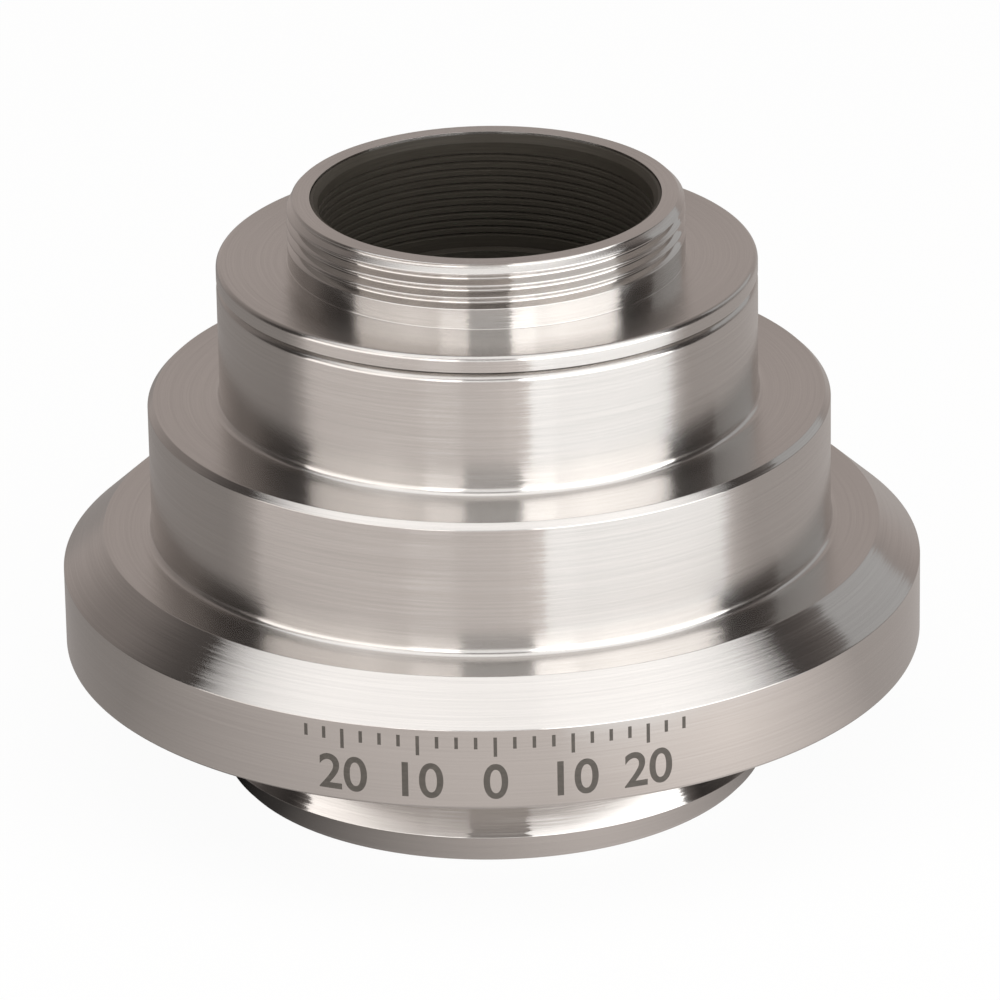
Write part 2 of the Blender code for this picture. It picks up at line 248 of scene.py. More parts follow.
def cut(piece, tool):
    """Cut a piece by a tool with an applied Boolean, and remove the tool."""
    select_only(piece)
    modifier = piece.modifiers.new("cut", 'BOOLEAN')
    modifier.operation = 'DIFFERENCE'
    modifier.solver = 'EXACT'
    modifier.object = tool
    bpy.ops.object.modifier_apply(modifier=modifier.name)
    bpy.data.objects.remove(tool)
    bpy.ops.object.mode_set(mode='EDIT')
    bpy.ops.mesh.select_all(action='SELECT')
    bpy.ops.mesh.remove_doubles(threshold=MERGE)
    bpy.ops.object.mode_set(mode='OBJECT')
    check_solid(piece)


def thread_tool(name, outline, pitch, turns, facets):
    """A tool swept along a helix, its outline one closed loop of (radius, height) points."""
    tool = start_piece(name)
    trace_outline(outline, True)
    bpy.ops.object.mode_set(mode='OBJECT')
    sweep = tool.modifiers.new("helix", 'SCREW')
    sweep.axis = 'Z'
    sweep.screw_offset = pitch
    sweep.iterations = turns
    sweep.steps = facets
    sweep.render_steps = facets
    select_only(tool)
    bpy.ops.object.modifier_apply(modifier=sweep.name)
    bpy.ops.object.mode_set(mode='EDIT')
    bpy.ops.mesh.select_mode(type='VERT')
    bpy.ops.mesh.select_all(action='DESELECT')
    bpy.ops.mesh.select_non_manifold()
    bpy.ops.mesh.fill()
    bpy.ops.mesh.select_all(action='SELECT')
    bpy.ops.mesh.normals_make_consistent(inside=False)
    bpy.ops.object.mode_set(mode='OBJECT')
    tool.rotation_euler.z = math.pi / facets
    bpy.ops.object.transform_apply(location=False, rotation=True, scale=False)
    return tool


def node_outline(node, side):
    """The turned outline of a CAD node, as (radius, height) points in order, read
    from its mesh in the half plane towards +X (side 0) or +Y (side 1)."""
    work = bmesh.new()
    work.from_mesh(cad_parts[node].data)
    bmesh.ops.remove_doubles(work, verts=work.verts, dist=MERGE)
    work.verts.index_update()
    inside = {}
    for vert in work.verts:
        if abs(vert.co[1 - side]) < MERGE and vert.co[side] > -MERGE:
            inside[vert.index] = vert
    neighbours = {index: [] for index in inside}
    for edge in work.edges:
        a, b = (vert.index for vert in edge.verts)
        if a in inside and b in inside:
            neighbours[a].append(b)
            neighbours[b].append(a)
    ends = [index for index, near in neighbours.items() if len(near) == 1]
    current = max(ends or inside, key=lambda index: (inside[index].co.z, inside[index].co[side]))
    order = [current]
    while True:
        onward = [index for index in neighbours[current] if index not in order]
        if not onward:
            break
        current = max(onward, key=lambda index: inside[index].co[side])
        order.append(current)
    points = [(inside[index].co[side], inside[index].co.z) for index in order]
    work.free()
    return points


def rounded(points, closed, sizes, rows=3):
    """An outline with each corner rounded: sharp ones by the edge break, and
    gentle ones, such as those along a fillet, as far as their edges allow."""
    made = []
    for index, corner in enumerate(points):
        if not closed and index in (0, len(points) - 1):
            made.append(corner)
            continue
        before = points[index - 1]
        after = points[(index + 1) % len(points)]
        run_in = (before[0] - corner[0], before[1] - corner[1])
        run_out = (after[0] - corner[0], after[1] - corner[1])
        in_length = math.hypot(*run_in)
        out_length = math.hypot(*run_out)
        cosine = (run_in[0] * run_out[0] + run_in[1] * run_out[1]) / (in_length * out_length)
        gentle = cosine < GENTLE_COSINE and min(in_length, out_length) < SHORT_EDGE
        limit = sizes.soft_edge if gentle else sizes.edge_break
        reach = min(limit, EDGE_SHARE * in_length, EDGE_SHARE * out_length)
        start = [corner[axis] + run_in[axis] * reach / in_length for axis in (0, 1)]
        end = [corner[axis] + run_out[axis] * reach / out_length for axis in (0, 1)]
        for row in range(rows + 1):
            share = row / rows
            point = []
            for axis in (0, 1):
                point.append((1 - share) ** 2 * start[axis] + 2 * share * (1 - share) * corner[axis]
                             + share ** 2 * end[axis])
            made.append(tuple(point))
    return made


def resize_mesh(piece, factor):
    """Resize the mesh of the selected piece about the origin."""
    piece.scale = (factor, factor, factor)
    bpy.ops.object.transform_apply(location=False, rotation=False, scale=True)


def finish_piece(piece, material, slot, *nodes, curved=False):
    """Shade a piece so that its broken edges roll and, unless it is curved all
    over, its large faces stay true. Give it its material, and put it in the place
    of its nodes."""
    select_only(piece)
    bpy.ops.object.shade_smooth_by_angle(angle=math.radians(40))
    if not curved:
        # The modifier skips the smallest faces, so the piece is enlarged for it.
        resize_mesh(piece, ENLARGED)
        weighted = piece.modifiers.new("weighted", 'WEIGHTED_NORMAL')
        weighted.keep_sharp = True
        bpy.ops.object.modifier_apply(modifier=weighted.name)
        resize_mesh(piece, 1 / ENLARGED)
    piece.data.materials.clear()
    piece.data.materials.append(material)
    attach(piece, "root")
    if nodes:
        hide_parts(*nodes)


def add_node(tree, kind, settings=None, links=None):
    """Add a shader node, with its settings and the sockets that feed it."""
    made = tree.nodes.new(kind)
    for key, value in (settings or {}).items():
        if isinstance(key, str) and hasattr(made, key):
            setattr(made, key, value)
        else:
            made.inputs[key].default_value = value
    for key, source in (links or {}).items():
        tree.links.new(source, made.inputs[key])
    return made


def maths(tree, kind, operation, terms):
    """The outputs of a maths node, each of its terms a fixed value or a socket."""
    made = add_node(tree, kind, {"operation": operation})
    for entry, term in zip(made.inputs, terms):
        if isinstance(term, bpy.types.NodeSocket):
            tree.links.new(term, entry)
        else:
            entry.default_value = term
    return made.outputs


def number(tree, operation, *terms):
    """The result of a Math node."""
    return maths(tree, "ShaderNodeMath", operation, terms)["Value"]


def vector(tree, operation, *terms, result="Vector"):
    """The result of a Vector Math node, which is a number for some operations."""
    return maths(tree, "ShaderNodeVectorMath", operation, terms)[result]


def new_material(name):
    """An empty material, its tree, and its output node."""
    material = bpy.data.materials.new(name)
    material.use_nodes = True
    tree = material.node_tree
    tree.nodes.clear()
    return material, tree, add_node(tree, "ShaderNodeOutputMaterial")


def lathe_noise(tree, across, along, detail=2.0):
    """Noise drawn out into rings about the optical axis, as a lathe leaves it:
    across is the width of a mark and along its length round the piece."""
    place = add_node(tree, "ShaderNodeTexCoord").outputs["Object"]
    level = vector(tree, 'MULTIPLY', place, (1, 1, 0))
    radius = vector(tree, 'LENGTH', level, result="Value")
    heading = vector(tree, 'NORMALIZE', level)
    height = add_node(tree, "ShaderNodeSeparateXYZ", None, {0: place}).outputs["Z"]
    turn = add_node(tree, "ShaderNodeSeparateXYZ", None, {0: heading}).outputs
    round_piece = MARKED_RADIUS / along
    ring = number(tree, 'MULTIPLY', radius, 1 / across)
    rise = number(tree, 'MULTIPLY', height, 1 / across)
    side = number(tree, 'MULTIPLY', turn["X"], round_piece)
    front = number(tree, 'MULTIPLY', turn["Y"], round_piece)
    place_in_noise = add_node(tree, "ShaderNodeCombineXYZ", None, {0: ring, 1: rise, 2: side})
    noise = add_node(tree, "ShaderNodeTexNoise",
                     {"noise_dimensions": '4D', "Scale": 1.0, "Detail": detail, "Roughness": 0.6},
                     {"Vector": place_in_noise.outputs[0], "W": front})
    return noise.outputs["Fac"]


def spread(tree, source, low, high, start=0.3, end=0.7):
    """A level that goes from low to high as its source goes from start to end,
    which at first hold the middle of a noise."""
    mapped = add_node(tree, "ShaderNodeMapRange",
                      {"From Min": start, "From Max": end, "To Min": low, "To Max": high},
                      {"Value": source})
    return mapped.outputs["Result"]


def marked(tree, noise, strength, depth):
    """The normal of a surface with marks of this depth."""
    marks = add_node(tree, "ShaderNodeBump", {"Strength": strength, "Distance": depth},
                     {"Height": noise})
    return marks.outputs["Normal"]


def shade(tree, base, source, low, high):
    """A base colour whose brightness follows a noise from low to high."""
    mixed = add_node(tree, "ShaderNodeVectorMath", {"operation": 'SCALE', 0: tuple(base)},
                     {"Scale": spread(tree, source, low, high)})
    return mixed.outputs["Vector"]


def leaned(tree, normal, noise, lean):
    """A normal that leans a little round the axis, by a noise: each turning mark
    then ends a reflection at a place of its own."""
    place = add_node(tree, "ShaderNodeTexCoord").outputs["Object"]
    level = vector(tree, 'NORMALIZE', vector(tree, 'CROSS_PRODUCT', (0, 0, 1), place))
    in_world = add_node(tree, "ShaderNodeVectorTransform",
                        {"convert_from": 'OBJECT', "convert_to": 'WORLD'}, {0: level})
    push = add_node(tree, "ShaderNodeVectorMath", {"operation": 'SCALE'},
                    {0: in_world.outputs["Vector"], "Scale": spread(tree, noise, -lean, lean)})
    return vector(tree, 'NORMALIZE', vector(tree, 'ADD', normal, push.outputs["Vector"]))


def lathe_steel(name, finish, smooth, rough):
    """Steel with the marks of a lathe: hairlines a tenth of a millimetre wide and
    centimetres long, so that reflections smear along the axis and stay sharp
    round it. Smooth and rough are its roughness between and on the hairlines."""
    material, tree, output = new_material(name)
    hairline = lathe_noise(tree, 0.09 * MM, 14 * MM, 1.0)
    short = lathe_noise(tree, 0.10 * MM, 6 * MM, 1.0)
    marks = marked(tree, hairline, 0.5, 0.0006 * MM)
    grain = add_node(tree, "ShaderNodeTangent", {"direction_type": 'RADIAL', "axis": 'Z'})
    shader = add_node(tree, "ShaderNodeBsdfPrincipled",
                      {"Metallic": 1.0, "Anisotropic": 1.0, "Anisotropic Rotation": 0.25},
                      {"Base Color": shade(tree, finish.steel, hairline, 0.962, 1.038),
                       "Roughness": spread(tree, short, smooth, rough, 0.45, 0.80),
                       "Normal": leaned(tree, marks, short, 0.012),
                       "Tangent": grain.outputs["Tangent"]})
    tree.links.new(shader.outputs["BSDF"], output.inputs["Surface"])
    return material


def turned_steel(finish):
    """Stainless steel, fine-turned on a lathe to a satin finish."""
    return lathe_steel("fine_turned_stainless_steel", finish, 0.17, 0.22)


def thread_steel(finish):
    """The same steel where a sharp tool has cut the thread: smoother than the
    turned faces."""
    return lathe_steel("thread_cut_stainless_steel", finish, 0.07, 0.12)


def dovetail_steel(finish):
    """The same steel on the seating slope of the dovetail: smoother than the
    turned faces, and rougher than the thread."""
    return lathe_steel("seat_turned_stainless_steel", finish, 0.11, 0.16)


def ground_steel(finish):
    """The same steel, ground smooth where it is marked: an even grey with hardly
    any grain."""
    material, tree, output = new_material("fine_ground_stainless_steel")
    fine = lathe_noise(tree, 0.12 * MM, 10 * MM)
    shader = add_node(tree, "ShaderNodeBsdfPrincipled", {"Metallic": 1.0},
                      {"Base Color": shade(tree, finish.steel, fine, 0.96, 1.03),
                       "Roughness": spread(tree, fine, 0.13, 0.16),
                       "Normal": marked(tree, fine, 0.3, 0.002 * MM)})
    tree.links.new(shader.outputs["BSDF"], output.inputs["Surface"])
    return material


def black_anodised(finish):
    """Aluminium with a matt black anodised layer: near black, with a weak, wide
    sheen that picks out the turning marks and the crests of the thread."""
    material, tree, output = new_material("matt_black_anodised_aluminium")
    fine = lathe_noise(tree, 0.10 * MM, 6 * MM)
    shader = add_node(tree, "ShaderNodeBsdfPrincipled",
                      {"Metallic": 0.0, "Specular IOR Level": 0.12},
                      {"Base Color": shade(tree, finish.black, fine, 0.85, 1.15),
                       "Roughness": spread(tree, fine, 0.40, 0.50),
                       "Normal": marked(tree, fine, 0.5, 0.002 * MM)})
    tree.links.new(shader.outputs["BSDF"], output.inputs["Surface"])
    return material


def coated_glass(name, colour_value, ior):
    """Polished optical glass with a thin coating: it reflects little, and what
    it reflects is green. A trace of dust keeps it from being perfect."""
    material, tree, output = new_material(name)
    dust = lathe_noise(tree, 0.8 * MM, 2 * MM, 4.0)
    shader = add_node(tree, "ShaderNodeBsdfPrincipled",
                      {"Metallic": 0.0, "IOR": ior, "Transmission Weight": 1.0,
                       "Specular IOR Level": 0.35, "Specular Tint": (*linear("8FE6B4"), 1.0)},
                      {"Base Color": shade(tree, colour_value, dust, 0.98, 1.0),
                       "Roughness": spread(tree, dust, 0.0, 0.02)})
    tree.links.new(shader.outputs["BSDF"], output.inputs["Surface"])
    return material


def index_marking(finish):
    """Steel darkened by a laser: dull grey, slightly mottled."""
    material, tree, output = new_material("laser_darkened_steel")
    mottle = lathe_noise(tree, 0.15 * MM, 0.4 * MM, 3.0)
    shader = add_node(tree, "ShaderNodeBsdfPrincipled", {"Metallic": 0.3},
                      {"Base Color": shade(tree, finish.marking, mottle, 0.8, 1.15),
                       "Roughness": spread(tree, mottle, 0.5, 0.65)})
    tree.links.new(shader.outputs["BSDF"], output.inputs["Surface"])
    return material


def shared_material(context, name, make):
    """A material that several operators use, made once."""
    return bpy.data.materials.get(name) or make(context.scene.adapter_finish)


def steel_material(context):
    """The steel of the body and the nose."""
    return shared_material(context, "fine_turned_stainless_steel", turned_steel)


def black_material(context):
    """The black of the barrel and the rings in it."""
    return shared_material(context, "matt_black_anodised_aluminium", black_anodised)


class ADAPTER_OT_stepped_body(Operator):
    """Turn the stepped steel body with its flange and dovetail foot"""

    bl_idname = "adapter.stepped_body"
    bl_label = "Stepped Body"

    def execute(self, context):
        sizes = context.scene.adapter_sizes
        outline = rounded(node_outline("stepped_body", 0), True, sizes)
        body = turn_piece("body_turning", outline, sizes.facets)
        finish_piece(body, steel_material(context), "steel", "stepped_body")
        body.data.materials.append(ground_steel(context.scene.adapter_finish))
        body.data.materials.append(dovetail_steel(context.scene.adapter_finish))
        ground, seat = 1, 2
        rim_reach = max(point[0] for point in outline) - 0.02 * MM
        for face in body.data.polygons:
            upward = face.normal.z
            if abs(upward) < 0.1 and math.hypot(face.center.x, face.center.y) > rim_reach:
                face.material_index = ground
            elif 0.3 < upward < 0.7 and face.center.z < sizes.dovetail_top:
                face.material_index = seat
        return {'FINISHED'}


class ADAPTER_OT_camera_nose(Operator):
    """Turn the nose and cut the camera thread on it"""

    bl_idname = "adapter.camera_nose"
    bl_label = "Camera Nose"

    def execute(self, context):
        sizes = context.scene.adapter_sizes
        rim_z = nose_top
        solid = node_outline("camera_nose", 0)
        under_thread = rim_z - 3.5 * MM
        lower = [point for point in solid if point[1] < under_thread]
        if lower[0][1] < lower[-1][1]:
            lower.reverse()
        bore = min(point[0] for point in solid)
        on_shoulder = sizes.thread_radius + MM
        shoulder_z = max(point[1] for point in lower if point[0] > on_shoulder)
        corner = (lower[0][0], shoulder_z)
        lower = [point for point in lower if math.dist(point, corner) > sizes.corner_clear]
        inner = sizes.lip_radius + sizes.lip_gap
        inner_z = rim_z - sizes.lip_drop - sizes.lip_height
        outline = [
            (bore, inner_z),
            (inner, inner_z),
            (inner, rim_z - sizes.sharp_edge),
            (inner, rim_z),
            (sizes.thread_radius - sizes.rim_chamfer, rim_z),
            (sizes.thread_radius, rim_z - sizes.rim_chamfer),
        ]
        outline += [corner] + lower
        nose = turn_piece("nose_turning", rounded(outline, True, sizes), sizes.facets)
        mouth = (sizes.thread_pitch - sizes.thread_crest) / 2
        flare = sizes.crest_break
        tip = mouth - sizes.thread_depth * FLANK
        start_z = shoulder_z + sizes.thread_runout + mouth
        root = sizes.thread_radius - sizes.thread_depth
        round_off = sizes.root_radius
        # The tool's upper half, from above the crest down to the root. The shares
        # bend it over the edge of the crest and round the corner of the root.
        half_outline = [
            (sizes.thread_radius + flare / 2, mouth + 1.5 * flare),
            (sizes.thread_radius - flare / 3, mouth + 0.2 * flare),
            (sizes.thread_radius - flare, mouth - flare * FLANK),
            (root + 0.90 * round_off, tip + 0.90 * round_off * FLANK),
            (root + 0.30 * round_off, tip),
            (root, tip - 0.90 * round_off),
        ]
        tool_outline = [(radius, start_z + rise) for radius, rise in half_outline]
        tool_outline += [(radius, start_z - rise) for radius, rise in reversed(half_outline)]
        turns = math.ceil((rim_z - start_z) / sizes.thread_pitch) + 1
        tool = thread_tool("thread_tool", tool_outline, sizes.thread_pitch, turns, sizes.facets)
        cut(nose, tool)
        finish_piece(nose, steel_material(context), "steel", "camera_nose")
        nose.data.materials.append(thread_steel(context.scene.adapter_finish))
        thread = 1
        in_wall = bore + 0.2 * MM
        for face in nose.data.polygons:
            reach = math.hypot(face.center.x, face.center.y)
            on_thread = in_wall < reach < sizes.thread_radius - sizes.crest_break / 2
            if on_thread and start_z - mouth < face.center.z < rim_z - sizes.rim_chamfer:
                face.material_index = thread
        return {'FINISHED'}


class ADAPTER_OT_lens_barrel(Operator):
    """Turn the black barrel and cut the fine thread that lines its neck"""

    bl_idname = "adapter.lens_barrel"
    bl_label = "Lens Barrel"

    def execute(self, context):
        sizes = context.scene.adapter_sizes
        solid = node_outline("lens_barrel", 1)
        neck = solid[0][0]
        lip = sizes.lip_radius
        top_z = nose_top - sizes.lip_drop
        lip_z = top_z - sizes.lip_height
        solid = [(lip, top_z), (lip, lip_z), (neck, lip_z)] + solid[1:-1] + [(solid[-1][0], top_z)]
        barrel = turn_piece("barrel_turning", rounded(solid, True, sizes), sizes.facets)
        ring_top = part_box("upper_retaining_ring")[1].z
        bore = solid[-2][0]
        over = 0.03 * MM
        tip = 0.02 * MM
        root = bore + sizes.baffle_depth
        mouth = sizes.baffle_depth * FLANK + tip
        start_z = ring_top + sizes.baffle_pitch
        turns = int((solid[-2][1] - start_z) / sizes.baffle_pitch)
        tool_outline = [
            (bore - over, start_z + mouth + over * FLANK),
            (root, start_z + tip),
            (root, start_z - tip),
            (bore - over, start_z - mouth - over * FLANK),
        ]
        tool = thread_tool("baffle_tool", tool_outline, sizes.baffle_pitch, turns, sizes.facets)
        cut(barrel, tool)
        finish_piece(barrel, black_material(context), "black_aluminium", "lens_barrel")
        return {'FINISHED'}


class ADAPTER_OT_slotted_rings(Operator):
    """Turn the retaining rings and the lock ring, with their spanner slots"""

    bl_idname = "adapter.slotted_rings"
    bl_label = "Slotted Rings"

    def execute(self, context):
        sizes = context.scene.adapter_sizes
        under, top = 0, 1
        slotted_faces = {
            "upper_retaining_ring": top,
            "lower_retaining_ring": under,
            "barrel_lock_ring": under,
        }
        for node, face in slotted_faces.items():
            outline = rounded(node_outline(node, 1), True, sizes)
            ring = turn_piece(node.replace("ring", "ring_turning"), outline, sizes.facets // 2)
            select_only(None)
            bpy.ops.mesh.primitive_cube_add(size=1.0, location=(0, 0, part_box(node)[face].z))
            tool = bpy.context.object
            tool_length = 2.2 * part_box(node)[1].x
            bpy.ops.transform.resize(value=(tool_length, sizes.slot_width, 2 * sizes.slot_depth))
            bpy.ops.object.transform_apply(location=True, rotation=True, scale=True)
            cut(ring, tool)
            finish_piece(ring, black_material(context), "black_aluminium", node)
        return {'FINISHED'}


class ADAPTER_OT_spacers(Operator):
    """Finish the plain rings and the stop inside the barrel"""

    bl_idname = "adapter.spacers"
    bl_label = "Spacers and Stop"

    def execute(self, context):
        for node in ("upper_spacer", "lower_spacer", "field_spacer", "aperture_stop"):
            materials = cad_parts[node].data.materials
            materials.clear()
            materials.append(black_material(context))
        return {'FINISHED'}


class ADAPTER_OT_lenses(Operator):
    """Grind the six lenses, each from the faces of its solid"""

    bl_idname = "adapter.lenses"
    bl_label = "Lenses"

    def execute(self, context):
        finish = context.scene.adapter_finish
        crown = coated_glass("coated_crown_glass", finish.crown, 1.52)
        flint = coated_glass("coated_flint_glass", finish.flint, 1.62)
        lenses = {
            "upper_doublet_flint": flint,
            "upper_doublet_crown": crown,
            "relay_lens": crown,
            "lower_doublet_crown": crown,
            "lower_doublet_flint": flint,
            "field_lens": crown,
        }
        for node, glass in lenses.items():
            slot = "flint_glass" if glass is flint else "crown_glass"
            self.grind(context, node, glass, slot)
        return {'FINISHED'}

    def grind(self, context, node, glass, slot):
        """One lens: an arc, the ground edge, and an arc back to the axis."""
        facets = context.scene.adapter_sizes.lens_facets
        solid = node_outline(node, 0)
        edge = max(point[0] for point in solid)
        rim = [point[1] for point in solid if abs(point[0] - edge) < MERGE]
        outline = self.arc(edge, solid[0][1], max(rim))
        outline += reversed(self.arc(edge, solid[-1][1], min(rim)))
        lens = turn_piece(node + "_ground", outline, facets, closed=False)
        finish_piece(lens, glass, slot, node, curved=True)

    def arc(self, edge, apex_z, rim_z, rows=24):
        """Points of a spherical face from the axis out to the edge."""
        rise = apex_z - rim_z
        points = []
        for row in range(rows + 1):
            radius = edge * row / rows
            if abs(rise) < MERGE:
                points.append((radius, rim_z))
                continue
            curve = (edge ** 2 + rise ** 2) / (2 * abs(rise))
            fall = curve - math.sqrt(curve ** 2 - radius ** 2)
            points.append((radius, apex_z - math.copysign(fall, rise)))
        return points


class ADAPTER_OT_index_scale(Operator):
    """Mark a plain index scale on the front of the flange's rim"""

    bl_idname = "adapter.index_scale"
    bl_label = "Index Scale"

    # Half a mark's thickness, and how far its middle lies inside the rim
    half_thickness = 0.025 * MM
    sunk = 0.013 * MM
    # Height of a numeral and how much its strokes are thickened, as shares of the
    # font's size
    numeral_share = 0.70
    bold_share = 0.012

    def execute(self, context):
        sizes = context.scene.adapter_sizes
        flange_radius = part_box("stepped_body")[1].x
        rim = [height for radius, height in node_outline("stepped_body", 0)
               if abs(radius - flange_radius) < MERGE]
        top_z = max(rim) - 0.45 * MM
        base_z = min(rim) + 0.65 * MM
        step_degrees = 2.5
        steps_each_way = 10
        steps_to_numeral = 4
        short_share = 0.6
        marks = []
        for step in range(-steps_each_way, steps_each_way + 1):
            angle = math.radians(step_degrees * step)
            long = step % steps_to_numeral == 0
            height = sizes.tick_height * (1.0 if long else short_share)
            marks.append(self.tick(sizes, flange_radius, angle, top_z - height, top_z))
            if long:
                value = str(10 * abs(step) // steps_to_numeral)
                marks.append(self.numeral(sizes, flange_radius, angle, base_z, value))
        select_only(marks[0])
        for mark in marks:
            mark.select_set(True)
        bpy.ops.object.join()
        scale = bpy.context.object
        scale.name = "index_scale"
        finish_piece(scale, index_marking(context.scene.adapter_finish), "steel")
        return {'FINISHED'}

    def tick(self, sizes, radius, angle, low, high):
        """One line of the scale."""
        select_only(None)
        bpy.ops.mesh.primitive_cube_add(size=1.0, location=(0, 0, 0))
        tick = bpy.context.object
        bpy.ops.transform.resize(value=(sizes.tick_width, high - low, 2 * self.half_thickness))
        bpy.ops.transform.translate(value=(0, (low + high) / 2, 0))
        bpy.ops.object.transform_apply(location=True, rotation=True, scale=True)
        self.wrap(tick, radius, angle)
        return tick

    def numeral(self, sizes, radius, angle, base_z, text):
        """One number of the scale, cut into strips so that it bends with the rim."""
        select_only(None)
        bpy.ops.object.text_add(location=(0, 0, 0))
        numeral = bpy.context.object
        numeral.data.body = text
        numeral.data.align_x = 'CENTER'
        numeral.data.size = sizes.numeral_height / self.numeral_share
        numeral.data.offset = self.bold_share * numeral.data.size
        numeral.data.extrude = self.half_thickness
        bpy.ops.object.convert(target='MESH')
        numeral = bpy.context.object
        bpy.ops.transform.translate(value=(0, base_z, 0))
        bpy.ops.object.transform_apply(location=True, rotation=True, scale=True)
        bpy.ops.object.mode_set(mode='EDIT')
        width = max(vert.co.x for vert in numeral.data.vertices)
        strips = 12
        for strip in range(1, strips):
            bpy.ops.mesh.select_all(action='SELECT')
            place = -width + 2 * width * strip / strips
            bpy.ops.mesh.bisect(plane_co=(place, 0, 0), plane_no=(1, 0, 0))
        bpy.ops.mesh.select_all(action='SELECT')
        bpy.ops.mesh.remove_doubles(threshold=MERGE)
        bpy.ops.object.mode_set(mode='OBJECT')
        self.wrap(numeral, radius, angle)
        return numeral

    def wrap(self, mark, radius, angle):
        """Bend a flat mark round the flange: its width runs along the rim, its
        height up the axis, and its thickness outwards."""
        for vert in mark.data.vertices:
            turn = angle + vert.co.x / radius
            reach = radius - self.sunk + vert.co.z
            vert.co = (reach * math.sin(turn), -reach * math.cos(turn), vert.co.y)


class ADAPTER_OT_studio(Operator):
    """Set up the floor, the surroundings, the softboxes, the cards and the camera"""

    bl_idname = "adapter.studio"
    bl_label = "Studio"

    def execute(self, context):
        studio = context.scene.adapter_studio
        finish = context.scene.adapter_finish
        self.floor(finish, studio)
        self.surroundings(context, finish)
        self.side_softboxes(finish, studio)
        self.cards(finish, studio)
        self.softbox("top_softbox", studio.top_level, (0.0, -0.20, 0.62), 1.20, 0.75,
                     overhead=True)
        self.camera(context, studio)
        context.scene.view_settings.view_transform = 'Standard'
        return {'FINISHED'}

    def side_softboxes(self, finish, studio):
        """A softbox at the left and one at the right of the camera, each in a lower
        and an upper part."""
        left, left_width = (-0.358, -0.349), 0.694
        right, right_width = (0.362, -0.345), 0.655
        lower_z, lower_height = 0.125, 0.27
        upper_z, upper_height = 0.365, 0.21
        self.softbox("left_softbox", studio.left_level, (*left, lower_z), left_width,
                     lower_height, finish.lamp)
        self.softbox("left_softbox_upper", studio.left_upper, (*left, upper_z), left_width,
                     upper_height, finish.lamp)
        self.softbox("right_softbox", studio.right_level, (*right, lower_z), right_width,
                     lower_height)
        self.softbox("right_softbox_upper", studio.right_upper, (*right, upper_z), right_width,
                     upper_height)

    def cards(self, finish, studio):
        """Cards on the floor at the left and the right, a dimmer one along the right
        one's inner edge, one that stands in front, and one beyond the right."""
        side, back, front = 0.45, -0.021, -0.48
        left_inner = [(-0.009, -0.058), (-0.041, -0.041), (-0.056, back)]
        left_outer = [(-side, back), (-side, front), (-0.097, front)]
        self.card("left_card", studio.left_card, left_inner + left_outer, finish.paper)
        right_outer = [(0.155, front), (side, front), (side, back)]
        right_inner = [(0.056, back), (0.041, -0.041), (0.014, -0.057)]
        self.card("right_card", studio.right_card, right_outer + right_inner)
        edge = [(0.005, -0.058), (0.050, front), (0.155, front), (0.014, -0.057)]
        self.card("right_card_edge", studio.edge_card, edge, finish.paper)
        half_width, place, top = 0.30, -0.60, 0.27
        standing = [(-half_width, place, 0.0), (half_width, place, 0.0),
                    (half_width, place, top), (-half_width, place, top)]
        self.card("front_card", studio.front_level, standing)
        beyond = [(0.777, 0.301, 0.388), (0.510, 0.417, 0.642),
                  (0.386, 0.755, 0.358), (0.654, 0.639, 0.104)]
        self.card("side_card", studio.side_level, beyond)

    def floor(self, finish, studio):
        """A pale floor: white to the camera but for the object's shadow, and a
        dimmer white in the metal, as the room round a softbox is, with painted light
        and a painted shadow round the foot."""
        select_only(None)
        # A hair lower than the foot, whose lower face it would otherwise share
        bpy.ops.mesh.primitive_plane_add(size=4.0, location=(0, 0, -0.02 * MM))
        floor = bpy.context.object
        floor.name = "floor"
        material, tree, output = new_material("pale_card")
        ray = add_node(tree, "ShaderNodeLightPath")
        card = add_node(tree, "ShaderNodeBsdfDiffuse", {"Color": (*finish.floor, 1.0)})
        white = add_node(tree, "ShaderNodeEmission", {"Strength": 1.0})
        # Painted light and shade: what the metal sees of the floor glows at a brightness painted by
        # place, with a painted shadow round the foot.
        dim = add_node(tree, "ShaderNodeEmission", {"Color": (*finish.paper, 1.0)},
                       {"Strength": self.painted_floor_level(tree, studio)})
        white_share = 0.95
        seen = number(tree, 'MULTIPLY', ray.outputs["Is Camera Ray"], white_share)
        to_camera = add_node(tree, "ShaderNodeMixShader", None,
                             {0: seen, 1: card.outputs[0], 2: white.outputs[0]})
        to_metal = add_node(tree, "ShaderNodeMixShader", None,
                            {0: ray.outputs["Is Glossy Ray"], 1: to_camera.outputs[0],
                             2: dim.outputs[0]})
        tree.links.new(to_metal.outputs[0], output.inputs["Surface"])
        floor.data.materials.append(material)

    def painted_floor_level(self, tree, studio):
        """The floor's painted brightness in the metal: a painted gradient rising from left
        to right and towards the front, a painted pool of light at the front right, and
        a painted shadow of the object close round its foot."""
        place = add_node(tree, "ShaderNodeTexCoord").outputs["Object"]
        split = add_node(tree, "ShaderNodeSeparateXYZ", None, {0: place}).outputs
        from_painted_light = self.distance(tree, place, 38, -34)
        from_painted_shade = self.distance(tree, place, 8.5, -20)
        from_axis = self.distance(tree, place, 0, 0)
        # Painted light: a gradient from left to right and towards the front, and a pool of light at
        # the front right.
        rise = self.ramped(tree, split["X"], -45, 45, studio.floor_left, studio.floor_right)
        front = self.ramped(tree, split["Y"], -50, -5, 0.36, 0.0)
        painted_light_pool = self.ramped(tree, from_painted_light, 0, 32, 0.40, 0.0)
        painted_floor_light = number(tree, 'ADD', number(tree, 'ADD', rise, front), painted_light_pool)
